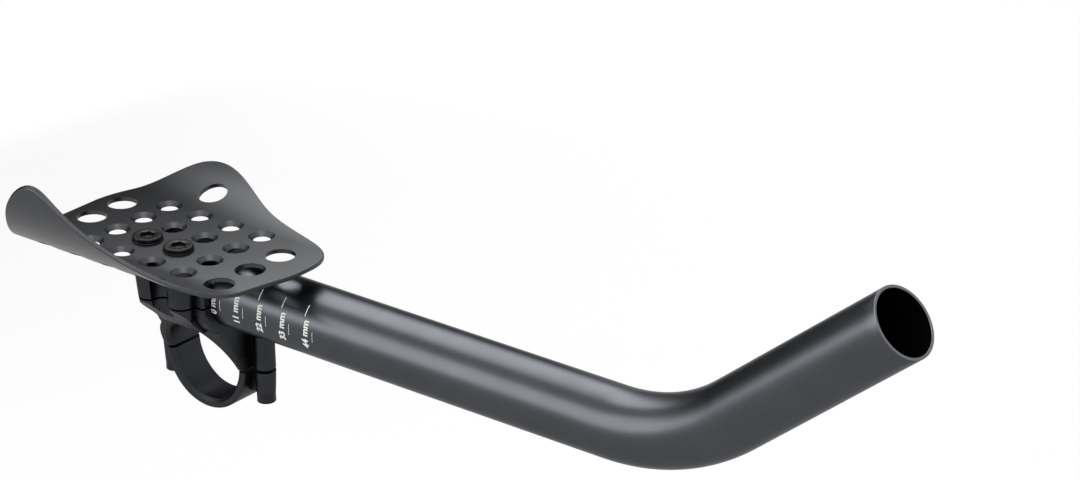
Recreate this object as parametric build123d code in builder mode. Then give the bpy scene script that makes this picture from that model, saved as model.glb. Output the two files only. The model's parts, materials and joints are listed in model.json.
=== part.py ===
import os
from math import asin, cos, radians, sin, tan

from build123d import *

os.makedirs("parts", exist_ok=True)

# Handlebar clamp: the origin is the middle of its bore, X is forward and Y is inboard
bar_dia = 31.8
ring_wall = 3.4
ring_width = 15.0
split_gap = 1.2
bore_chamfer = 1.2
ring_round = 0.8

# Screws of the clamp cap
cap_bolt_dia = 4.0
cap_bolt_length = 18.0
cap_head_dia = 7.0
cap_head_height = 4.0
cap_head_round = 0.35
cap_hex = 3.0
cap_bolt_reach = 22.9
lug_dia = 8.0
lug_taper = 3.0
lug_web = 5.6
body_lug_height = 13.4
cap_lug_height = 8.4
lug_round = 1.2

# Bent tube
tube_dia = 25.4
tube_wall = 1.1
tube_offset = 8.9
tube_rise = 32.4
tube_tail = 18.0
bend_start = 190.8
bend_radius = 78.2
bend_angle = 38.4
tip_length = 78.2
tip_lean = 3.7
tube_edge = 0.3

# Split sleeve and neck of the clamp body
slide_clearance = 0.05
sleeve_wall = 3.7
sleeve_length = 33.0
sleeve_lead = 2.0
slit = 0.8
slit_drop = 1.5
toe_out = 8.0
waist_out = 17.3
waist_rise = 18.0
heel_rise = 28.0
body_round = 1.2

# Pillars under the armrest and their screws
bolt_pitch = 15.2
bolt_offset = 18.0
bolt_dia = 6.0
bolt_length = 25.0
bolt_clearance = 0.1
bolt_point = 1.5
thread_clearance = 0.05
fit_tolerance = 0.01
pillar_top_dia = 12.6
pillar_slit_dia = 9.2
pillar_foot_dia = 5.0
pillar_foot_drop = 0.8
foot_slope = 45.0
pillar_web = 5.0
valley_out = 2.6
valley_radius = 4.4
head_dia = 10.8
head_height = 1.5
head_round = 0.9
head_hex = 5.0
head_socket = 1.2
washer_dia = 11.4
washer_thickness = 0.5

# Armrest sheet, measured outboard from the tube axis
sheet = 1.6
sheet_rise = 20.2
flat_inner = 12.0
flat_outer = 30.5
lobe_radius = 38.6
lobe_sweep = 44.0
wing_radius = 34.5
wing_sweep = 110.0
wing_cut_tilt = 45.0
rest_front = 57.0
rest_rear = -46.4
rest_seam = 8.0
rest_overlap = 3.0
rest_heel = 25.0
inner_edge = [(52.4, -10.9), (38.0, -17.0), (14.8, -23.7), (-4.0, -32.3), (-18.5, -36.0),
              (-29.5, -33.6), (-36.6, -26.5), (-41.7, -15.0), (-45.1, -5.0)]
wing_edge = [(54.8, 13.4), (50.0, 26.8), (40.0, 39.4), (20.5, 52.7), (0.0, 65.6), (-12.0, 70.7),
             (-24.5, 65.2), (-32.0, 53.8), (-39.4, 39.0), (-44.8, 26.5)]
rest_edge = 0.4
row_pitch = 13.25
small_hole = bolt_dia + 2 * bolt_clearance
small_sink = 9.6
sink_angle = 100.0
large_hole = 11.0
large_pitch = 15.4
front_row = 41.6
rear_row = -36.3
wing_hole_out = 48.5
wing_hole_pitch = 15.6
lobe_hole_out = -23.5
lobe_hole_x = -13.0

bar_radius = bar_dia / 2
ring_radius = bar_radius + ring_wall
half_width = ring_width / 2
half_gap = split_gap / 2
tube_radius = tube_dia / 2
tube_y = -tube_offset
sleeve_bore = tube_radius + slide_clearance
sleeve_radius = sleeve_bore + sleeve_wall
half_sleeve = sleeve_length / 2
slit_z = tube_rise - slit_drop
rest_top = tube_rise + sheet_rise
rest_bottom = rest_top - sheet
rest_middle = rest_top - sheet / 2
bolt_y = tube_y - bolt_offset
foot_y = bolt_y - pillar_slit_dia / 2
foot_z = slit_z - pillar_foot_drop
lug_top = half_gap + body_lug_height
seat_z = rest_top + washer_thickness
tap_z = seat_z - bolt_length - thread_clearance
cap_seat_z = -half_gap - cap_lug_height
bolt_places = [(sleeve_lead + bolt_pitch / 2, bolt_y), (sleeve_lead - bolt_pitch / 2, bolt_y)]
lug_places = [(cap_bolt_reach, 0), (-cap_bolt_reach, 0)]

# Pillars that carry the armrest, above and below the slit
slope = radians(foot_slope)
foot_plane = Plane((sleeve_lead, foot_y, foot_z), x_dir=(1, 0, 0), z_dir=(0, sin(slope), cos(slope)))
with BuildPart() as pillars:
    with Locations(*[(x, y, slit_z) for x, y in bolt_places]):
        Cone(pillar_slit_dia / 2, pillar_top_dia / 2, rest_bottom - slit_z,
             align=(Align.CENTER, Align.CENTER, Align.MIN))
        Cone(pillar_foot_dia / 2, pillar_slit_dia / 2, slit_z - waist_rise,
             align=(Align.CENTER, Align.CENTER, Align.MAX))
    # Web that carries the pillars on the sleeve, hollowed between them
    with BuildSketch(Plane.YZ.offset(sleeve_lead)):
        with BuildLine():
            Polyline(
                (bolt_y, rest_bottom),
                (tube_y, tube_rise + sleeve_radius),
                (tube_y, waist_rise),
                (bolt_y, waist_rise),
                close=True,
            )
        make_face()
    extrude(amount=(bolt_pitch + pillar_web) / 2, both=True)
    with BuildSketch(Plane.XY.offset(waist_rise)):
        with Locations((sleeve_lead, bolt_y - valley_out)):
            Circle(valley_radius)
    extrude(amount=rest_top - waist_rise, mode=Mode.SUBTRACT)
    # Feet that slope down to the neck
    split(bisect_by=foot_plane, keep=Keep.TOP)

with BuildPart() as clamp_body:
    # Neck, narrowing from the sleeve to the upper half of the handlebar ring
    with BuildSketch(Plane.YZ):
        with BuildLine():
            Polyline(
                (half_width, half_gap),
                (half_width, tube_rise),
                (tube_y - sleeve_radius, tube_rise),
                (tube_y - sleeve_radius, heel_rise),
                (-waist_out, waist_rise),
                (-toe_out, half_gap),
                close=True,
            )
        make_face()
    extrude(amount=ring_radius, both=True)
    with BuildSketch(Plane.XZ):
        Circle(ring_radius)
        with Locations((sleeve_lead, tube_rise / 2)):
            Rectangle(sleeve_length, tube_rise)
    extrude(amount=2 * sleeve_radius + tube_offset, both=True, mode=Mode.INTERSECT)
    # Sleeve round the tube
    with BuildSketch(Plane.YZ.offset(sleeve_lead)):
        with Locations((tube_y, tube_rise)):
            Circle(sleeve_radius)
    extrude(amount=half_sleeve, both=True)
    # Rounded ends of the sleeve and the neck
    end_faces = clamp_body.faces().filter_by(Axis.X).sort_by(Axis.X)
    end_edges = end_faces[0].outer_wire().edges() + end_faces[-1].outer_wire().edges()
    fillet(end_edges.filter_by(Axis.Y, reverse=True), body_round)
    # Upper half of the handlebar bore
    with BuildSketch(Plane.XZ):
        Circle(bar_radius)
    extrude(amount=2 * sleeve_radius + tube_offset, both=True, mode=Mode.SUBTRACT)
    arcs = clamp_body.edges().filter_by(GeomType.CIRCLE)
    bore_rims = arcs.filter_by(lambda arc: abs(arc.radius - bar_radius) < fit_tolerance)
    chamfer(bore_rims, bore_chamfer)
    slanted_rims = clamp_body.edges().filter_by(GeomType.ELLIPSE)
    chamfer(slanted_rims.filter_by(lambda arc: arc.length > bar_dia), bore_chamfer)
    add(pillars.part)
    # Lugs for the cap screws
    with BuildSketch(Plane.XY.offset(half_gap)):
        with Locations(*lug_places):
            Circle(lug_dia / 2)
        with GridLocations(cap_bolt_reach + bar_radius, lug_web, 2, 1):
            Rectangle(cap_bolt_reach - bar_radius, lug_web)
    extrude(amount=body_lug_height)
    rims = clamp_body.edges().filter_by_position(Axis.Z, lug_top - fit_tolerance, lug_top + fit_tolerance)
    clear = half_sleeve + fit_tolerance
    fillet(rims.filter_by(lambda rim: abs(rim.center().X - sleeve_lead) > clear), lug_round)
    # Tube bore and the slit that lets the sleeve close on the tube
    with BuildSketch(Plane.YZ):
        with Locations((tube_y, tube_rise)):
            Circle(sleeve_bore)
    extrude(amount=sleeve_length, both=True, mode=Mode.SUBTRACT)
    with Locations((sleeve_lead, bolt_y, slit_z)):
        Box(2 * sleeve_length, 2 * bolt_offset - slit_drop, slit, mode=Mode.SUBTRACT)
    # Screw holes
    with BuildSketch(Plane.XY.offset(slit_z)):
        with Locations(*bolt_places):
            Circle(bolt_dia / 2 + bolt_clearance)
    extrude(amount=2 * sheet_rise, mode=Mode.SUBTRACT)
    with BuildSketch(Plane.XY.offset(tap_z + bolt_point)):
        with Locations(*bolt_places):
            Circle(bolt_dia / 2 + thread_clearance)
    extrude(amount=slit_z - tap_z - bolt_point, mode=Mode.SUBTRACT)
    with Locations(*[(x, y, tap_z) for x, y in bolt_places]):
        Cone(bolt_dia / 2 + thread_clearance - bolt_point, bolt_dia / 2 + thread_clearance, bolt_point,
             align=(Align.CENTER, Align.CENTER, Align.MIN), mode=Mode.SUBTRACT)
    with BuildSketch(Plane.XY.offset(half_gap)):
        with Locations(*lug_places):
            Circle(cap_bolt_dia / 2 + thread_clearance)
    extrude(amount=cap_bolt_length - cap_lug_height, mode=Mode.SUBTRACT)
clamp_body.part.label = "clamp_body"
export_step(clamp_body.part, "parts/clamp_body.step")

with BuildPart() as clamp_cap:
    with BuildSketch(Plane.XZ):
        Circle(ring_radius)
        Circle(bar_radius, mode=Mode.SUBTRACT)
        with Locations((0, -half_gap)):
            Rectangle(2 * ring_radius, ring_radius, align=(Align.CENTER, Align.MAX), mode=Mode.INTERSECT)
    extrude(amount=half_width, both=True)
    rims = clamp_cap.edges().filter_by(GeomType.CIRCLE)
    chamfer(rims.filter_by(lambda rim: rim.radius < ring_radius - ring_wall / 2), bore_chamfer)
    fillet(rims.filter_by(lambda rim: rim.radius > ring_radius - ring_wall / 2), ring_round)
    with BuildSketch(Plane.XY.offset(-half_gap)):
        with GridLocations(cap_bolt_reach + bar_radius, lug_web, 2, 1):
            Rectangle(cap_bolt_reach - bar_radius, lug_web)
    extrude(amount=-cap_lug_height)
    lug_foot = lug_dia / 2 - cap_lug_height * tan(radians(lug_taper))
    with Locations(*[(x, y, -half_gap) for x, y in lug_places]):
        Cone(lug_foot, lug_dia / 2, cap_lug_height, align=(Align.CENTER, Align.CENTER, Align.MAX))
    with BuildSketch(Plane.XY.offset(-half_gap)):
        with Locations(*lug_places):
            Circle(cap_bolt_dia / 2 + bolt_clearance)
    extrude(amount=-cap_lug_height, mode=Mode.SUBTRACT)
clamp_cap.part.label = "clamp_cap"
export_step(clamp_cap.part, "parts/clamp_cap.step")

for place, name in zip(lug_places, ["cap_bolt_front", "cap_bolt_rear"]):
    with BuildPart() as cap_bolt:
        with BuildSketch(Plane.XY.offset(cap_seat_z)):
            with Locations(place):
                Circle(cap_head_dia / 2)
        extrude(amount=-cap_head_height)
        fillet(cap_bolt.faces().sort_by(Axis.Z)[0].edges(), cap_head_round)
        with BuildSketch(Plane.XY.offset(cap_seat_z - cap_head_height)):
            with Locations(place):
                RegularPolygon(cap_hex / 2, 6, major_radius=False)
        extrude(amount=cap_head_height / 2, mode=Mode.SUBTRACT)
        with BuildSketch(Plane.XY.offset(cap_seat_z)):
            with Locations(place):
                Circle(cap_bolt_dia / 2)
        extrude(amount=cap_bolt_length)
        chamfer(cap_bolt.faces().sort_by(Axis.Z)[-1].edges(), cap_bolt_dia / 10)
    cap_bolt.part.label = name
    export_step(cap_bolt.part, f"parts/{name}.step")

for place, name in zip(bolt_places, ["armrest_bolt_front", "armrest_bolt_rear"]):
    with BuildPart() as armrest_bolt:
        with BuildSketch(Plane.XY.offset(seat_z)):
            with Locations(place):
                Circle(head_dia / 2)
        extrude(amount=head_height)
        fillet(armrest_bolt.faces().sort_by(Axis.Z)[-1].edges(), head_round)
        with BuildSketch(Plane.XY.offset(seat_z + head_height)):
            with Locations(place):
                RegularPolygon(head_hex / 2, 6, major_radius=False)
        extrude(amount=-head_socket, mode=Mode.SUBTRACT)
        with BuildSketch(Plane.XY.offset(seat_z)):
            with Locations(place):
                Circle(bolt_dia / 2)
        extrude(amount=-bolt_length)
        chamfer(armrest_bolt.faces().sort_by(Axis.Z)[0].edges(), bolt_point)
    armrest_bolt.part.label = name
    export_step(armrest_bolt.part, f"parts/{name}.step")

for place, name in zip(bolt_places, ["armrest_washer_front", "armrest_washer_rear"]):
    with BuildPart() as armrest_washer:
        with BuildSketch(Plane.XY.offset(rest_top)):
            with Locations(place):
                Circle(washer_dia / 2)
                Circle(bolt_dia / 2 + bolt_clearance, mode=Mode.SUBTRACT)
        extrude(amount=washer_thickness)
        fillet(armrest_washer.faces().sort_by(Axis.Z)[-1].outer_wire().edges(), washer_thickness / 3)
    armrest_washer.part.label = name
    export_step(armrest_washer.part, f"parts/{name}.step")

lean = radians(tip_lean)
bend_plane = Plane((0, tube_y, tube_rise), x_dir=(1, 0, 0), z_dir=(0, -cos(lean), sin(lean)))
with BuildPart() as extension_tube:
    with BuildLine(bend_plane) as tube_path:
        straight = Line((-tube_tail, 0), (bend_start, 0))
        bend = JernArc(straight @ 1, straight % 1, bend_radius, bend_angle)
        Line(bend @ 1, bend @ 1 + (bend % 1) * tip_length)
    with BuildSketch(Plane(tube_path.line @ 0, z_dir=tube_path.line % 0)):
        Circle(tube_radius)
        Circle(tube_radius - tube_wall, mode=Mode.SUBTRACT)
    sweep()
    ends = extension_tube.faces().filter_by(GeomType.PLANE)
    fillet([edge for end in ends for edge in end.edges()], tube_edge)
extension_tube.part.label = "extension_tube"
export_step(extension_tube.part, "parts/extension_tube.step")

wing_slope = asin((wing_hole_out - flat_outer) / wing_radius)
wing_spot = (sleeve_lead, tube_y - wing_hole_out, rest_middle + wing_radius * (1 - cos(wing_slope)))
wing_plane = Plane(wing_spot, x_dir=(1, 0, 0), z_dir=(0, sin(wing_slope), cos(wing_slope)))
lobe_slope = asin((-lobe_hole_out - flat_inner) / lobe_radius)
lobe_spot = (lobe_hole_x, tube_y - lobe_hole_out, rest_middle + lobe_radius * (1 - cos(lobe_slope)))
lobe_plane = Plane(lobe_spot, x_dir=(1, 0, 0), z_dir=(0, -sin(lobe_slope), cos(lobe_slope)))
tilt = radians(wing_cut_tilt)
cut_plane = Plane((0, tube_y, rest_middle), x_dir=(1, 0, 0), z_dir=(0, -sin(tilt), -cos(tilt)))
seam = rest_seam * cos(tilt)
seam_start = (rest_seam - rest_overlap) * cos(tilt)
heel = rest_heel * cos(tilt)

# Solids whose common volume with the bent sheet gives its outline
with BuildPart() as rest_outline:
    with BuildSketch(Plane.XY.offset(rest_middle - lobe_radius)):
        with BuildLine():
            inner = Spline(
                (rest_front, tube_y),
                *[(x, tube_y - out) for x, out in inner_edge],
                (rest_rear, tube_y - rest_seam + rest_overlap + sheet),
            )
            Polyline(
                inner @ 1,
                (rest_rear, tube_y - rest_seam + rest_overlap / 2),
                (rest_front, tube_y - rest_seam + rest_overlap / 2),
                inner @ 0,
            )
        make_face()
    extrude(amount=2 * lobe_radius)
    with BuildSketch(cut_plane):
        with BuildLine():
            outer = Spline(
                (rest_front, seam),
                *wing_edge,
                (rest_rear, heel),
                tangents=[(-0.1, 1), (0, -1)],
            )
            Polyline(
                outer @ 1,
                (rest_rear, seam_start),
                (rest_front, seam_start),
                outer @ 0,
            )
        make_face()
    extrude(amount=2 * wing_radius, both=True)

with BuildPart() as armrest:
    with BuildSketch(Plane.YZ.offset(rest_rear - rest_overlap)):
        with BuildLine():
            flat = Line((tube_y + flat_inner, rest_middle), (tube_y - flat_outer, rest_middle))
            JernArc(flat @ 0, (1, 0), lobe_radius, lobe_sweep)
            JernArc(flat @ 1, (-1, 0), wing_radius, -wing_sweep)
        trace(line_width=sheet)
    extrude(amount=rest_front - rest_rear + 2 * rest_overlap)
    add(rest_outline.part, mode=Mode.INTERSECT)
    across = armrest.edges().filter_by(Axis.X, reverse=True)
    fillet(across.filter_by(lambda edge: edge.length > 2 * sheet), rest_edge)
    # Countersunk grid for the screws and larger lightening holes
    with Locations((sleeve_lead, bolt_y + row_pitch / 2, rest_top)):
        with GridLocations(bolt_pitch, row_pitch, 4, 4):
            CounterSinkHole(small_hole / 2, small_sink / 2, counter_sink_angle=sink_angle)
    with BuildSketch(Plane.XY.offset(rest_middle)):
        with Locations((front_row, tube_y - large_pitch), (rear_row, tube_y - large_pitch)):
            with GridLocations(large_pitch, large_pitch, 1, 3):
                Circle(large_hole / 2)
    extrude(amount=2 * sheet, both=True, mode=Mode.SUBTRACT)
    with BuildSketch(wing_plane):
        with GridLocations(wing_hole_pitch, wing_hole_pitch, 4, 1):
            Circle(large_hole / 2)
    extrude(amount=2 * sheet, both=True, mode=Mode.SUBTRACT)
    with BuildSketch(lobe_plane):
        Circle(large_hole / 2)
    extrude(amount=2 * sheet, both=True, mode=Mode.SUBTRACT)
armrest.part.label = "armrest"
export_step(armrest.part, "parts/armrest.step")
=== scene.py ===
import json
import bmesh
import bpy
import numpy as np
from mathutils import Matrix, Vector


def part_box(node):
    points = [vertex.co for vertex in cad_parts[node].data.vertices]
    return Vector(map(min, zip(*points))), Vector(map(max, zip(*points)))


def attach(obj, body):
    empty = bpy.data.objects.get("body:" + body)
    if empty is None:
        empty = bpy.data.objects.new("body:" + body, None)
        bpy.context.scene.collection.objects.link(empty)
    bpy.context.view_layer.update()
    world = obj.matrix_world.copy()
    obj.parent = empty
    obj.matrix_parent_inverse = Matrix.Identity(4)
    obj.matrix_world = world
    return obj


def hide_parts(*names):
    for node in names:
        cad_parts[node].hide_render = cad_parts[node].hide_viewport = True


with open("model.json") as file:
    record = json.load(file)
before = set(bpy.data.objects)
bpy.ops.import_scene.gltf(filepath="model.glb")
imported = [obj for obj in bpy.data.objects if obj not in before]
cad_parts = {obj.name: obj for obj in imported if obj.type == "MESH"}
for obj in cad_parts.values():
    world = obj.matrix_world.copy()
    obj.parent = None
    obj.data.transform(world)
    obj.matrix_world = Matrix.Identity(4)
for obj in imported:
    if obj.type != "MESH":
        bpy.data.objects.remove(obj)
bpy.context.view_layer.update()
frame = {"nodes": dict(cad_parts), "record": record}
mm = 0.001


# sRGB hex to linear light: c / 12.92 up to 0.04045, else ((c + 0.055) / 1.055) to the power 2.4
def linearColour(hexCode):
    channels = np.array([int(hexCode[i:i + 2], 16) for i in (0, 2, 4)]) / 255
    curved = ((channels + 0.055) / 1.055) ** 2.4
    return (*np.where(channels <= 0.04045, channels / 12.92, curved).tolist(), 1.0)


mixShare, mixFirst, mixSecond, mixResult = 0, 6, 7, 2  # sockets of a Mix node that works on colours


# one shader node: settings are input values or attributes, links feed its inputs from other outputs
def addNode(tree, kind, settings, links=None):
    node = tree.nodes.new(kind)
    for key, value in settings.items():
        if isinstance(key, str) and hasattr(node, key):
            setattr(node, key, value)
        else:
            node.inputs[key].default_value = value
    for key, output in (links or {}).items():
        tree.links.new(output, node.inputs[key])
    return node


# a new material with its node tree and its shader
def startMaterial(name):
    material = bpy.data.materials.new(name)
    material.use_nodes = True
    tree = material.node_tree
    return material, tree, tree.nodes["Principled BSDF"]


# quads of a grid of rows and columns: corners (i, j), (i + 1, j), (i + 1, j + 1), (i, j + 1),
# wrapped where it is closed
def gridQuads(rows, columns, closeRows=False, closeColumns=False):
    quadRows, quadColumns = rows - (not closeRows), columns - (not closeColumns)
    i, j = np.meshgrid(np.arange(quadRows), np.arange(quadColumns), indexing="ij")
    nextRow, nextColumn = (i + 1) % rows, (j + 1) % columns
    corners = [i * columns + j, nextRow * columns + j,
               nextRow * columns + nextColumn, i * columns + nextColumn]
    return np.stack(corners, -1).reshape(-1, 4)


# a mesh object at the origin from points in metres, smooth up to the given edge angle
def makePiece(name, points, faces, material, body, sharpAngle=32.0):
    mesh = bpy.data.meshes.new(name)
    mesh.from_pydata(np.reshape(points, (-1, 3)).tolist(), [], faces)
    mesh.polygons.foreach_set("use_smooth", np.ones(len(mesh.polygons), bool))
    mesh.set_sharp_from_angle(angle=np.radians(sharpAngle))
    mesh.materials.append(material)
    piece = bpy.data.objects.new(name, mesh)
    bpy.context.scene.collection.objects.link(piece)
    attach(piece, body)
    return piece


tubeFinish = {
    "deepDye": "424447",
    "thinDye": "4b4d51",
    # lighter colour of the cut rim: bare cut metal, and partly a painted highlight along the rim
    "edgeMetalAndHighlight": "6e7073",
    "grazing": "cbcbcb",  # the dyed film takes some of the light that comes in at a flat angle
    "cloudSize": 14.0,  # mm, slow drift of the dye
    "cloudDetail": 3.0,
    "pitSize": 0.45,  # mm, blasting pits are nearer 0.05 and are drawn coarser so that they show
    "pitDetail": 2.0,
    "pitDepth": 0.012,  # mm
    "bumpStrength": 0.35,
    "roughness": (0.28, 0.35),
}


# glass-bead blasted aluminium under a dark dyed oxide film: broad soft highlights,
# a cool grey sheen, no clear mirror
def blastedAnodisedAluminium():
    finish = tubeFinish
    material, tree, shader = startMaterial("aluminium_blasted_dark_anodised")
    shader.inputs["Metallic"].default_value = 1.0
    shader.inputs["Specular Tint"].default_value = linearColour(finish["grazing"])
    place = addNode(tree, "ShaderNodeTexCoord", {}).outputs["Object"]
    cloud = addNode(tree, "ShaderNodeTexNoise",
                    {"Scale": 1 / (finish["cloudSize"] * mm), "Detail": finish["cloudDetail"]},
                    {"Vector": place})
    pits = addNode(tree, "ShaderNodeTexNoise",
                   {"Scale": 1 / (finish["pitSize"] * mm), "Detail": finish["pitDetail"]},
                   {"Vector": place})
    dye = addNode(tree, "ShaderNodeMix",
                  {"data_type": "RGBA", mixFirst: linearColour(finish["deepDye"]),
                   mixSecond: linearColour(finish["thinDye"])},
                  {mixShare: cloud.outputs["Fac"]})
    # the cut rim is painted lighter: bare cut metal, and a painted highlight where the rim catches light
    rim = addNode(tree, "ShaderNodeAttribute", {"attribute_name": "cutRimAndHighlight"}).outputs["Fac"]
    colour = addNode(tree, "ShaderNodeMix",
                     {"data_type": "RGBA", mixSecond: linearColour(finish["edgeMetalAndHighlight"])},
                     {mixShare: rim, mixFirst: dye.outputs[mixResult]})
    low, high = finish["roughness"]
    rough = addNode(tree, "ShaderNodeMapRange", {"To Min": low, "To Max": high},
                    {"Value": pits.outputs["Fac"]})
    bump = addNode(tree, "ShaderNodeBump",
                   {"Strength": finish["bumpStrength"], "Distance": finish["pitDepth"] * mm},
                   {"Height": pits.outputs["Fac"]})
    tree.links.new(colour.outputs[mixResult], shader.inputs["Base Color"])
    tree.links.new(rough.outputs["Result"], shader.inputs["Roughness"])
    tree.links.new(bump.outputs["Normal"], shader.inputs["Normal"])
    return material


clampFinish = {
    "deepDye": "2d2e31",
    "thinDye": "38393c",
    "grazing": "cbcbcb",
    "cloudSize": 6.0,  # mm
    "cloudDetail": 3.0,
    "pitSize": 0.6,  # mm, drawn coarser than the real etched grain
    "pitDetail": 3.0,
    "pitDepth": 0.02,  # mm
    "bumpStrength": 0.4,
    "roughness": (0.36, 0.44),
}


# forged and machined aluminium, etched and dyed black: a dull satin that shows its form
# mostly at the edges
def etchedBlackAluminium():
    finish = clampFinish
    material, tree, shader = startMaterial("aluminium_etched_black_anodised")
    shader.inputs["Metallic"].default_value = 1.0
    shader.inputs["Specular Tint"].default_value = linearColour(finish["grazing"])
    place = addNode(tree, "ShaderNodeTexCoord", {}).outputs["Object"]
    cloud = addNode(tree, "ShaderNodeTexNoise",
                    {"Scale": 1 / (finish["cloudSize"] * mm), "Detail": finish["cloudDetail"]},
                    {"Vector": place})
    pits = addNode(tree, "ShaderNodeTexNoise",
                   {"Scale": 1 / (finish["pitSize"] * mm), "Detail": finish["pitDetail"]},
                   {"Vector": place})
    dye = addNode(tree, "ShaderNodeMix",
                  {"data_type": "RGBA", mixFirst: linearColour(finish["deepDye"]),
                   mixSecond: linearColour(finish["thinDye"])},
                  {mixShare: cloud.outputs["Fac"]})
    low, high = finish["roughness"]
    rough = addNode(tree, "ShaderNodeMapRange", {"To Min": low, "To Max": high},
                    {"Value": cloud.outputs["Fac"]})
    bump = addNode(tree, "ShaderNodeBump",
                   {"Strength": finish["bumpStrength"], "Distance": finish["pitDepth"] * mm},
                   {"Height": pits.outputs["Fac"]})
    tree.links.new(dye.outputs[mixResult], shader.inputs["Base Color"])
    tree.links.new(rough.outputs["Result"], shader.inputs["Roughness"])
    tree.links.new(bump.outputs["Normal"], shader.inputs["Normal"])
    return material


restFinish = {
    "deepDye": "414244",
    "thinDye": "494a4c",
    "cloudSize": 20.0,  # mm
    "cloudDetail": 3.0,
    "lineSize": (6.0, 0.5),  # mm, length and width of the rolling marks, drawn wider than real ones
    "lineDetail": 2.0,
    "lineDepth": 0.01,  # mm
    "bumpStrength": 0.3,
    "roughness": (0.36, 0.44),
}


# rolled aluminium sheet, pressed, tumbled and dyed dark: an even satin with faint marks
# along the rolling direction
def rolledAnodisedSheet():
    finish = restFinish
    material, tree, shader = startMaterial("aluminium_sheet_dark_anodised")
    shader.inputs["Metallic"].default_value = 1.0
    place = addNode(tree, "ShaderNodeTexCoord", {}).outputs["Object"]
    length, width = finish["lineSize"]
    along = addNode(tree, "ShaderNodeMapping",
                    {"Scale": (1 / (length * mm), 1 / (width * mm), 1 / (width * mm))},
                    {"Vector": place})
    lines = addNode(tree, "ShaderNodeTexNoise", {"Scale": 1.0, "Detail": finish["lineDetail"]},
                    {"Vector": along.outputs["Vector"]})
    cloud = addNode(tree, "ShaderNodeTexNoise",
                    {"Scale": 1 / (finish["cloudSize"] * mm), "Detail": finish["cloudDetail"]},
                    {"Vector": place})
    dye = addNode(tree, "ShaderNodeMix",
                  {"data_type": "RGBA", mixFirst: linearColour(finish["deepDye"]),
                   mixSecond: linearColour(finish["thinDye"])},
                  {mixShare: cloud.outputs["Fac"]})
    low, high = finish["roughness"]
    rough = addNode(tree, "ShaderNodeMapRange", {"To Min": low, "To Max": high},
                    {"Value": lines.outputs["Fac"]})
    bump = addNode(tree, "ShaderNodeBump",
                   {"Strength": finish["bumpStrength"], "Distance": finish["lineDepth"] * mm},
                   {"Height": lines.outputs["Fac"]})
    tree.links.new(dye.outputs[mixResult], shader.inputs["Base Color"])
    tree.links.new(rough.outputs["Result"], shader.inputs["Roughness"])
    tree.links.new(bump.outputs["Normal"], shader.inputs["Normal"])
    return material


screwFinish = {
    "oxide": "242425",
    "thinOxide": "343436",
    "patchSize": 1.2,  # mm
    "patchDetail": 4.0,
    "roughness": (0.3, 0.45),
}


# heat-treated steel blackened in hot oxide: a neutral, oily black with an uneven sheen
def blackOxideSteel():
    finish = screwFinish
    material, tree, shader = startMaterial("steel_black_oxide")
    shader.inputs["Metallic"].default_value = 1.0
    place = addNode(tree, "ShaderNodeTexCoord", {}).outputs["Object"]
    patch = addNode(tree, "ShaderNodeTexNoise",
                    {"Scale": 1 / (finish["patchSize"] * mm), "Detail": finish["patchDetail"]},
                    {"Vector": place})
    colour = addNode(tree, "ShaderNodeMix",
                     {"data_type": "RGBA", mixFirst: linearColour(finish["oxide"]),
                      mixSecond: linearColour(finish["thinOxide"])},
                     {mixShare: patch.outputs["Fac"]})
    low, high = finish["roughness"]
    rough = addNode(tree, "ShaderNodeMapRange", {"To Min": low, "To Max": high},
                    {"Value": patch.outputs["Fac"]})
    tree.links.new(colour.outputs[mixResult], shader.inputs["Base Color"])
    tree.links.new(rough.outputs["Result"], shader.inputs["Roughness"])
    return material


inkFinish = {
    "thick": "ececea",
    "thin": "cfd0d0",
    "mottleSize": 0.8,  # mm
    "mottleDetail": 2.0,
    "roughness": 0.55,
}


# pad-printed white epoxy ink: flat white, a little thinner and greyer in small patches
def whitePrintInk():
    finish = inkFinish
    material, tree, shader = startMaterial("ink_white_pad_printed")
    shader.inputs["Roughness"].default_value = finish["roughness"]
    place = addNode(tree, "ShaderNodeTexCoord", {}).outputs["Object"]
    mottle = addNode(tree, "ShaderNodeTexNoise",
                     {"Scale": 1 / (finish["mottleSize"] * mm), "Detail": finish["mottleDetail"]},
                     {"Vector": place})
    colour = addNode(tree, "ShaderNodeMix",
                     {"data_type": "RGBA", mixFirst: linearColour(finish["thin"]),
                      mixSecond: linearColour(finish["thick"])},
                     {mixShare: mottle.outputs["Fac"]})
    tree.links.new(colour.outputs[mixResult], shader.inputs["Base Color"])
    return material


tubeMetal = blastedAnodisedAluminium()
clampMetal = etchedBlackAluminium()
restMetal = rolledAnodisedSheet()
screwMetal = blackOxideSteel()
whiteInk = whitePrintInk()
for nodeName, metal in (("clamp_body", clampMetal), ("clamp_cap", clampMetal), ("armrest", restMetal),
                        ("armrest_washer_front", screwMetal), ("armrest_washer_rear", screwMetal)):
    materials = frame["nodes"][nodeName].data.materials
    materials.clear()
    materials.append(metal)
print("finishes made:", len(bpy.data.materials))

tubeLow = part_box("extension_tube")[0]
rearMouth = next(mount for mount in frame["record"]["mounts"] if mount["name"] == "tube_rear_end")
tubeShape = {  # lengths in mm
    "axisY": rearMouth["pos_m"][1] / mm,
    "axisZ": rearMouth["pos_m"][2] / mm,
    "rearEnd": tubeLow.x / mm,
    "radius": 12.7,
    "wall": 1.1,
    "edge": 0.3,  # rounding of the cut ends
    "rimMargin": 0.02,  # points this far inside both faces belong to the cut rim
    "bendStart": 190.8,
    "bendRadius": 78.2,
    "bendAngle": np.radians(38.4),
    "tipLength": 78.2,
    "lean": np.radians(3.7),  # the bend's plane leans inwards
    "around": 168,
    "straightRows": 48,
    "bendRows": 56,
    "tipRows": 16,
    "edgeRows": 6,
}


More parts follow.
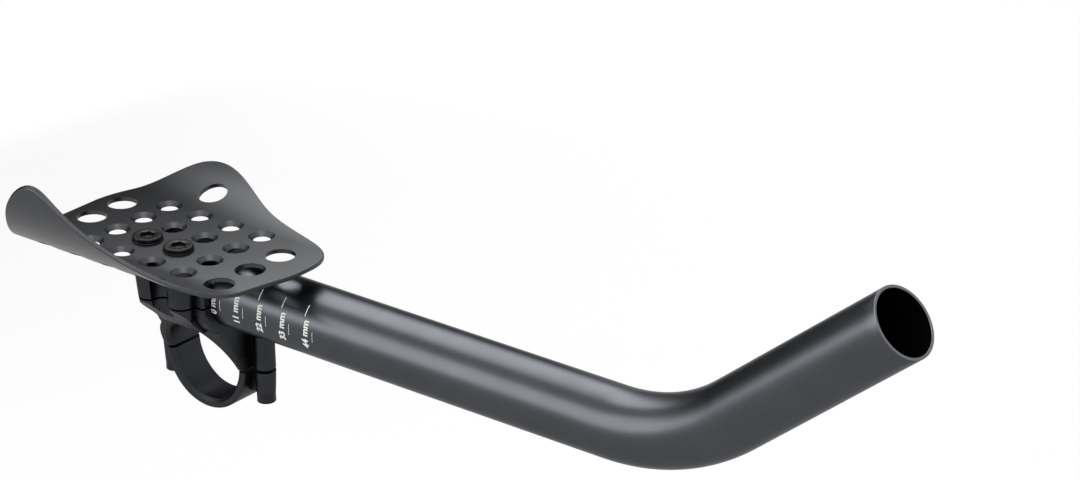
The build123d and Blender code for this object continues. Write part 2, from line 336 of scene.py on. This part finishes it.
# tube surface: straight along X, then an arc in the leaning plane, then straight on.
# A point is the path's centre plus radius times (cos angle times outboard plus sin angle times
# the path's upward normal)
def tubePoint(distance, angle, radius):
    shape = tubeShape
    turn = np.clip((distance - shape["bendStart"]) / shape["bendRadius"], 0, shape["bendAngle"])
    tip = np.maximum(distance - shape["bendStart"] - shape["bendRadius"] * shape["bendAngle"], 0)
    straight = np.minimum(distance, shape["bendStart"])
    along = straight + shape["bendRadius"] * np.sin(turn) + tip * np.cos(turn)
    climb = shape["bendRadius"] * (1 - np.cos(turn)) + tip * np.sin(turn)
    upOffset = climb + radius * np.sin(angle) * np.cos(turn)
    outOffset = radius * np.cos(angle)
    x = along - radius * np.sin(angle) * np.sin(turn)
    y = shape["axisY"] + upOffset * np.sin(shape["lean"]) - outOffset * np.cos(shape["lean"])
    z = shape["axisZ"] + upOffset * np.cos(shape["lean"]) + outOffset * np.sin(shape["lean"])
    return np.stack(np.broadcast_arrays(x, y, z), -1) * mm


# the wall's loop, outer face, rounded front rim, inner face and rear rim, carried round the path
def makeTube():
    shape = tubeShape
    edge = shape["edge"]
    inner = shape["radius"] - shape["wall"]
    bendEnd = shape["bendStart"] + shape["bendRadius"] * shape["bendAngle"]
    frontEnd = bendEnd + shape["tipLength"]
    stations = np.concatenate([
        np.linspace(shape["rearEnd"] + edge, shape["bendStart"], shape["straightRows"], endpoint=False),
        np.linspace(shape["bendStart"], bendEnd, shape["bendRows"], endpoint=False),
        np.linspace(bendEnd, frontEnd - edge, shape["tipRows"], endpoint=False)])
    quarter = np.linspace(0, np.pi / 2, shape["edgeRows"])
    rimDistance = frontEnd - edge + edge * np.concatenate([np.sin(quarter), np.cos(quarter)])
    rimRadius = np.concatenate([shape["radius"] - edge + edge * np.cos(quarter),
                                inner + edge - edge * np.sin(quarter)])
    rearDistance = shape["rearEnd"] + frontEnd - rimDistance
    distance = np.concatenate([stations, rimDistance, stations[:0:-1], rearDistance[::-1][:-1]])
    radius = np.concatenate([np.full(len(stations), shape["radius"]), rimRadius,
                             np.full(len(stations) - 1, inner), rimRadius[::-1][:-1]])
    angle = np.linspace(0, 2 * np.pi, shape["around"], endpoint=False)
    points = tubePoint(distance[:, None], angle[None, :], radius[:, None])
    quads = gridQuads(len(distance), shape["around"], closeRows=True, closeColumns=True)
    tube = makePiece("extensionTube", points, quads.tolist(), tubeMetal, "extension")
    # the cut rim's points get the lighter colour: bare cut metal, and a painted highlight along the rim
    margin = shape["rimMargin"]
    onCutRimAndHighlight = (radius < shape["radius"] - margin) & (radius > inner + margin)
    rim = tube.data.attributes.new("cutRimAndHighlight", "FLOAT", "POINT")
    rim.data.foreach_set("value", np.repeat(onCutRimAndHighlight, shape["around"]).astype(np.float32))
    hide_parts("extension_tube")
    return tube


extensionTube = makeTube()
print("tube swept:", len(extensionTube.data.polygons), "faces")

capScrew = {  # lengths in mm
    "headRadius": 3.5,
    "headHeight": 4.0,
    "domeHeight": 0.35,  # rounded rim of the head
    "domeWidth": 0.35,
    "hexAcross": 3.0,
    "socketDepth": 2.0,
    "shankRadius": 2.0,
    "point": 0.4,  # bevel of the screw's end
    "pitch": 0.7,
    "knurls": 24,
    "knurlDepth": 0.14,
    "columns": 96,
}
restScrew = {  # lengths in mm
    "headRadius": 5.4,
    "headHeight": 1.5,
    "domeHeight": 0.45,
    "domeWidth": 0.5,
    "hexAcross": 5.0,
    "socketDepth": 1.2,
    "shankRadius": 3.0,
    "point": 1.5,
    "pitch": 1.0,
    "knurls": 0,
    "knurlDepth": 0.0,
    "columns": 48,
}
screwForm = {  # what both kinds of screw share, lengths in mm
    "domeRows": 8,
    "stepsPerTurn": 8,  # rings in one turn of the thread
    "drillRadius": 0.2,  # share of the hex's half width, tip of the socket's drilled floor
    "floorRadius": 0.97,  # share of the hex's half width, edge of that floor
    "drillDepth": 0.3,  # the floor's tip below its edge
    "mouthMargin": 0.12,  # bevelled mouth of the socket, outside the hex's corners
    "mouthDepth": 0.22,
    "underHead": 0.1,  # bevel below the head
    "threadDepth": 0.6,  # share of the pitch
    "flank": (1.15, 0.08),  # the wave is stretched and lowered, which leaves flats at crest and root
    "knurlTop": 0.9,  # share of the dome's height, the head is smooth above it
    "knurlMargin": 0.2,  # outside the socket's mouth
    "shoulder": (0.9, 0.4),  # shares of the point: ring before the end, and how far it is drawn in
}


# a screw as a surface of rings: hex socket, rounded head, then a shank whose radius follows a helix,
# crest less depth times a triangle wave of (height / pitch - angle / full turn), and a bevelled point
def makeScrew(name, node, size, headUp):
    form = screwForm
    low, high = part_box(node)
    top, point, columns = size["headHeight"], size["point"], size["columns"]
    length = (high.z - low.z) / mm - top
    apothem = size["hexAcross"] / 2
    mouth = apothem / np.cos(np.pi / 6) + form["mouthMargin"]
    socketFloor = top - size["socketDepth"]
    quarter = np.linspace(0, np.pi / 2, form["domeRows"])
    domeRadius = size["headRadius"] - size["domeWidth"] * (1 - np.sin(quarter))
    domeHeight = top - size["domeHeight"] * (1 - np.cos(quarter))
    headRadius = np.concatenate([
        [form["drillRadius"] * apothem, form["floorRadius"] * apothem, apothem, mouth], domeRadius,
        [size["headRadius"], size["headRadius"] - form["underHead"]]])
    headHeight = np.concatenate([
        [socketFloor - form["drillDepth"], socketFloor, top - form["mouthDepth"], top], domeHeight,
        [form["underHead"], 0.0]])
    thread = np.arange(0, length - point, size["pitch"] / form["stepsPerTurn"])
    shoulderRise, shoulderIn = form["shoulder"]
    tipHeight = np.array([shoulderRise * point - length, -length])
    tipRadius = size["shankRadius"] - np.array([shoulderIn, 1.0]) * point
    radius = np.concatenate([headRadius, np.full(len(thread), size["shankRadius"]), tipRadius])
    height = np.concatenate([headHeight, -thread, tipHeight])
    angle = np.linspace(0, 2 * np.pi, columns, endpoint=False)
    flat = np.mod(angle, np.pi / 3) - np.pi / 6
    onHex = np.zeros(len(radius))
    onHex[1:3] = 1  # edge of the socket's floor and top of its wall
    rings = radius[:, None] * (1 + onHex[:, None] * (1 / np.cos(flat)[None, :] - 1))
    onThread = np.zeros(len(radius))
    onThread[len(headRadius):-len(tipRadius)] = 1
    phase = height[:, None] / size["pitch"] - angle[None, :] / (2 * np.pi)
    wave = np.abs(np.mod(phase, 1) * 2 - 1)
    stretch, lowered = form["flank"]
    groove = form["threadDepth"] * size["pitch"] * np.clip(stretch * wave - lowered, 0, 1)
    rings = rings - onThread[:, None] * groove
    side = ((headHeight < top - form["knurlTop"] * size["domeHeight"]) & (headHeight > 0)
            & (headRadius > mouth + form["knurlMargin"]))
    onSide = np.concatenate([side, np.zeros(len(radius) - len(side), bool)])
    ridge = np.abs(np.sin(angle * size["knurls"] / 2))
    rings = rings - onSide[:, None] * size["knurlDepth"] * (1 - ridge)[None, :]
    way = 1 if headUp else -1
    seat = low.z / mm + length if headUp else high.z / mm - length
    x = (low.x + high.x) / 2 / mm + rings * np.cos(angle)
    y = (low.y + high.y) / 2 / mm + way * rings * np.sin(angle)
    z = seat + way * np.broadcast_to(height[:, None], rings.shape)
    quads = gridQuads(len(radius), columns, closeColumns=True).tolist()
    firstRing = np.arange(columns)
    lastRing = (len(radius) - 1) * columns + firstRing[::-1]
    faces = quads + [firstRing.tolist(), lastRing.tolist()]
    screw = makePiece(name, np.stack([x, y, z], -1) * mm, faces, screwMetal, "clamp")
    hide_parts(node)
    return screw


for place in ("front", "rear"):
    makeScrew("capScrew_" + place, "cap_bolt_" + place, capScrew, headUp=False)
    makeScrew("armrestScrew_" + place, "armrest_bolt_" + place, restScrew, headUp=True)
print("screws turned: 4")

ink = {  # lengths in mm
    "proud": 0.03,  # above the metal, less than the sleeve's clearance
    "sunk": 0.05,  # part of the slab below the surface, so that no edge lifts
    "halfSlab": 0.5,  # half thickness while flat, only its sign counts once the slab is laid on
    "strip": 0.5,  # width of the strips that let the lettering bend
    "weld": 1e-4,  # points of a letter that are closer than this are one
    "tickStrips": 16,
    "barStrips": 5,
}
scalePrint = {  # lengths in mm
    "firstMark": 19.7,  # along the tube, just clear of the sleeve
    "step": 11.0,
    "marks": 5,
    "textHeight": 3.8,
    "textBold": 0.034,  # share of the letter height by which the strokes swell
    "textAngle": np.radians(1.5),  # middle of the lettering, up from level on the outer side
    "tickWidth": 0.35,
    "tickAngles": np.radians((31.0, 50.0)),
    "tickShift": -1.2,
    "faintWidth": 0.16,
    "faintAngles": np.radians((-8.0, 10.0)),
    "faintShift": 3.4,
}


# a mesh's points as an array of rows
def meshPoints(mesh):
    points = np.empty(3 * len(mesh.vertices), np.float32)
    mesh.vertices.foreach_get("co", points)
    return points.reshape(-1, 3).astype(float)


# lettering as a thin slab, cut into strips and triangles;
# x runs along the reading direction and y up the letters, in mm
def letterSlab(words, height):
    curve = bpy.data.curves.new("letters", "FONT")
    curve.body = words
    curve.size = height
    curve.align_x = "CENTER"
    curve.align_y = "CENTER"
    curve.extrude = ink["halfSlab"]
    curve.offset = scalePrint["textBold"] * height
    holder = bpy.data.objects.new("letters", curve)
    bpy.context.scene.collection.objects.link(holder)
    bpy.context.view_layer.update()
    depsgraph = bpy.context.evaluated_depsgraph_get()
    mesh = bpy.data.meshes.new_from_object(holder.evaluated_get(depsgraph))
    bpy.data.objects.remove(holder)
    bpy.data.curves.remove(curve)
    form = bmesh.new()
    form.from_mesh(mesh)
    bmesh.ops.remove_doubles(form, verts=form.verts, dist=ink["weld"])
    form.to_mesh(mesh)
    reach = float(np.abs(meshPoints(mesh)[:, 0]).max())
    for cut in np.arange(-reach, reach, ink["strip"]):
        bmesh.ops.bisect_plane(form, geom=form.verts[:] + form.edges[:] + form.faces[:],
                               plane_co=(cut, 0, 0), plane_no=(1, 0, 0))
    bmesh.ops.triangulate(form, faces=form.faces)
    form.to_mesh(mesh)
    form.free()
    points = meshPoints(mesh)
    corners = np.empty(len(mesh.loops), np.int32)
    mesh.loops.foreach_get("vertex_index", corners)
    bpy.data.meshes.remove(mesh)
    return points, corners.reshape(-1, 3)


# a rectangular slab: the four corners of its section carried along u from first to last, ends closed
def barSlab(first, last, width, strips):
    u = np.linspace(first, last, strips)[:, None]
    v = np.array([0.5, -0.5, -0.5, 0.5])[None, :] * width
    w = np.array([1, 1, -1, -1])[None, :] * ink["halfSlab"]
    points = np.stack(np.broadcast_arrays(u, v, w), -1).reshape(-1, 3)
    quads = gridQuads(strips, 4, closeColumns=True)
    ends = np.array([[0, 1, 2, 3], np.array([3, 2, 1, 0]) + 4 * (strips - 1)])
    quads = np.concatenate([quads, ends])
    return points, np.concatenate([quads[:, :3], quads[:, [0, 2, 3]]])


# slabs joined into one list of points and triangles
def joinSlabs(slabs):
    starts = np.cumsum([0] + [len(points) for points, faces in slabs])
    points = np.concatenate([points for points, faces in slabs])
    faces = np.concatenate([faces + start for (points, faces), start in zip(slabs, starts)])
    return points, faces.tolist()


# letters and bars laid round the tube's axis:
# u is the arc length, v runs rearwards, w is the slab's thickness
def onTube(slab, distance, angle, radius):
    points, faces = slab
    height = radius + np.where(points[:, 2] > 0, ink["proud"], -ink["sunk"])
    around = angle - tubeShape["lean"] + points[:, 0] / radius
    return tubePoint(distance - points[:, 1], around, height), faces


# each mark is its length in plain figures, a tick above it and a faint line beside it,
# at the first mark plus the mark's count times the step
def makeScaleMarks():
    shape, radius = scalePrint, tubeShape["radius"]
    slabs = []
    for mark in range(shape["marks"]):
        distance = shape["firstMark"] + mark * shape["step"]
        letters = letterSlab(f"{mark * shape['step']:.0f} mm", shape["textHeight"])
        slabs.append(onTube(letters, distance, shape["textAngle"], radius))
        for line in ("tick", "faint"):
            first, last = shape[line + "Angles"] * radius
            bar = barSlab(first, last, shape[line + "Width"], ink["tickStrips"])
            slabs.append(onTube(bar, distance + shape[line + "Shift"], 0.0, radius))
    points, faces = joinSlabs(slabs)
    return makePiece("scaleMarks", points, faces, whiteInk, "extension")


innerPrint = {  # lengths in mm
    "lineFrom": 20.0,
    "lineTo": 132.0,
    "lineWidth": 0.3,
    "lineAngle": np.radians(156.0),  # up from level on the inner side
    "bars": 7,
    "barFrom": 23.0,
    "barPitch": 4.8,
    "barLength": 3.4,
    "barHeight": 1.7,
    "barAngle": np.radians(163.5),
}
sleeveDashes = {  # lengths in mm
    "radius": 16.45,
    "spans": ((-12.9, -8.5), (11.0, 15.8)),
    "height": 0.9,
    "angle": np.radians(180.0),
}


# a bar from one distance along the tube to another, with its height round it
def lengthwiseBar(first, last, height, angle, radius):
    bar = barSlab(-height / 2, height / 2, last - first, ink["barStrips"])
    return onTube(bar, (first + last) / 2, angle, radius)


# a fine line with a row of bars below it on the tube's inner side
def makeInnerPrint():
    shape, radius = innerPrint, tubeShape["radius"]
    slabs = [lengthwiseBar(shape["lineFrom"], shape["lineTo"], shape["lineWidth"],
                           shape["lineAngle"], radius)]
    for first in shape["barFrom"] + shape["barPitch"] * np.arange(shape["bars"]):
        slabs.append(lengthwiseBar(first, first + shape["barLength"], shape["barHeight"],
                                   shape["barAngle"], radius))
    points, faces = joinSlabs(slabs)
    return makePiece("innerPrint", points, faces, whiteInk, "extension")


# two dashes on the sleeve that show where the tube's level is
def makeSleeveDashes():
    shape = sleeveDashes
    slabs = [lengthwiseBar(*span, shape["height"], shape["angle"], shape["radius"])
             for span in shape["spans"]]
    points, faces = joinSlabs(slabs)
    return makePiece("sleeveDashes", points, faces, whiteInk, "clamp")


scaleMarks = makeScaleMarks()
makeInnerPrint()
makeSleeveDashes()
print("scale printed:", len(scaleMarks.data.polygons), "faces")

studio = {  # lengths in metres
    "target": (0.13, -0.02, 0.03),
    "floorHeight": -0.14,
    "floorReach": 30.0,
    "paper": "f4f4f3",
    "paperRoughness": 0.9,
    "paperWhite": 0.9,  # share of plain white that the paper shows to the eye, the rest takes the shadow
    "card": "3a3a3a",
    "room": "ffffff",
    "fill": 0.35,  # strength of the room's light on matt surfaces
    "seen": 1.0,  # strength of paper and room as the eye sees them, 1 is plain white
    "softboxes": {
        "rearSoftbox": {"azimuth": 150.0, "elevation": 46.0, "away": 1.6,
                        "size": (1.35, 0.9), "radiance": 3.9},
        "sideSoftbox": {"azimuth": -127.0, "elevation": 19.0, "away": 1.6,
                        "size": (1.3, 0.95), "radiance": 3.0},
        "topSoftbox": {"azimuth": -50.0, "elevation": 68.0, "away": 1.6,
                       "size": (1.0, 0.8), "radiance": 3.0},
    },
    "cards": {
        "rearCard": {"azimuth": 157.3, "elevation": 18.5, "away": 0.266, "size": (0.3, 0.09)},
        "sideCard": {"azimuth": 129.0, "elevation": 15.0, "away": 0.213, "size": (0.12, 0.07)},
        "lowCard": {"azimuth": 168.0, "elevation": 8.0, "away": 0.66, "size": (0.7, 0.42)},
    },
}


# a spot at a distance from the target, by azimuth from +X towards +Y and elevation,
# and the turn that faces back
def facingTarget(spot):
    turn, rise = np.radians([spot["azimuth"], spot["elevation"]])
    way = Vector((np.cos(rise) * np.cos(turn), np.cos(rise) * np.sin(turn), np.sin(rise)))
    facing = way.to_track_quat("Z", "Y").to_matrix().to_4x4()
    return Matrix.Translation(Vector(studio["target"]) + spot["away"] * way) @ facing


# 1 for a ray that the eye sees straight, mirrored or through glass, else 0: the largest of the three
def seenRay(tree):
    rays = addNode(tree, "ShaderNodeLightPath", {})
    mirrored = addNode(tree, "ShaderNodeMath", {"operation": "MAXIMUM"},
                       {0: rays.outputs["Is Camera Ray"], 1: rays.outputs["Is Glossy Ray"]})
    return addNode(tree, "ShaderNodeMath", {"operation": "MAXIMUM"},
                   {0: mirrored.outputs[0], 1: rays.outputs["Is Transmission Ray"]}).outputs[0]


# matt white paper: part of it shows as plain white, the rest is lit and keeps the shadow
def seamlessPaper():
    material, tree, shader = startMaterial("paper_matt_white")
    shader.inputs["Base Color"].default_value = linearColour(studio["paper"])
    shader.inputs["Roughness"].default_value = studio["paperRoughness"]
    shader.inputs["Specular IOR Level"].default_value = 0.0
    share = addNode(tree, "ShaderNodeMath", {"operation": "MULTIPLY", 1: studio["paperWhite"]},
                    {0: seenRay(tree)})
    white = addNode(tree, "ShaderNodeEmission", {"Strength": studio["seen"]})
    mixed = addNode(tree, "ShaderNodeMixShader", {},
                    {0: share.outputs[0], 1: shader.outputs[0], 2: white.outputs[0]})
    tree.links.new(mixed.outputs[0], tree.nodes["Material Output"].inputs["Surface"])
    return material


# matt black card: no gloss, only a dark patch for the metal to mirror
def blackCard():
    material, _, shader = startMaterial("card_matt_black")
    shader.inputs["Base Color"].default_value = linearColour(studio["card"])
    shader.inputs["Specular IOR Level"].default_value = 0.0
    return material


# a flat sheet of the given width and height in its own plane
def stageSheet(name, matrix, width, height, material):
    corners = np.array([[-0.5, -0.5, 0], [0.5, -0.5, 0], [0.5, 0.5, 0], [-0.5, 0.5, 0]])
    mesh = bpy.data.meshes.new(name)
    mesh.from_pydata((corners * (width, height, 1)).tolist(), [], [[0, 1, 2, 3]])
    mesh.transform(matrix)
    mesh.materials.append(material)
    sheet = bpy.data.objects.new(name, mesh)
    bpy.context.scene.collection.objects.link(sheet)
    return sheet


# paper floor, black cards, softboxes and a white room: a lamp's energy is 4 times its radiance
# times its area
def makeStudio():
    reach = studio["floorReach"]
    floorPlace = Matrix.Translation((0, 0, studio["floorHeight"]))
    stageSheet("floor", floorPlace, reach, reach, seamlessPaper())
    black = blackCard()
    for name, flag in studio["cards"].items():
        card = stageSheet(name, facingTarget(flag), *flag["size"], black)
        card.visible_camera = False
    for name, box in studio["softboxes"].items():
        lamp = bpy.data.lights.new(name, "AREA")
        lamp.shape = "RECTANGLE"
        lamp.size, lamp.size_y = box["size"]
        lamp.energy = 4 * box["radiance"] * lamp.size * lamp.size_y
        holder = bpy.data.objects.new(name, lamp)
        holder.matrix_world = facingTarget(box)
        holder.visible_camera = False
        bpy.context.scene.collection.objects.link(holder)
    world = bpy.data.worlds.new("room")
    world.use_nodes = True
    bpy.context.scene.world = world
    tree = world.node_tree
    level = addNode(tree, "ShaderNodeMapRange",
                    {"To Min": studio["fill"], "To Max": studio["seen"]}, {"Value": seenRay(tree)})
    background = tree.nodes["Background"]
    background.inputs["Color"].default_value = linearColour(studio["room"])
    tree.links.new(level.outputs["Result"], background.inputs["Strength"])


viewpoint = {
    "location": (0.8825, -0.8850, 0.5868),  # metres
    "right": (0.77575, 0.63083, -0.01599),
    "up": (-0.24167, 0.32040, 0.91594),
    "lens": 125.8,  # mm
    "sensor": 36.0,  # mm
}


# the camera's own axes as columns: right, up and back
def makeCamera():
    right = Vector(viewpoint["right"]).normalized()
    back = right.cross(Vector(viewpoint["up"])).normalized()
    camera = bpy.data.cameras.new("viewCamera")
    camera.sensor_fit = "HORIZONTAL"
    camera.sensor_width = viewpoint["sensor"]
    camera.lens = viewpoint["lens"]
    holder = bpy.data.objects.new("viewCamera", camera)
    axes = Matrix((right, back.cross(right), back)).transposed().to_4x4()
    holder.matrix_world = Matrix.Translation(viewpoint["location"]) @ axes
    bpy.context.scene.collection.objects.link(holder)
    bpy.context.scene.camera = holder


makeStudio()
makeCamera()
bpy.context.scene.view_settings.view_transform = "Standard"
print("studio set")
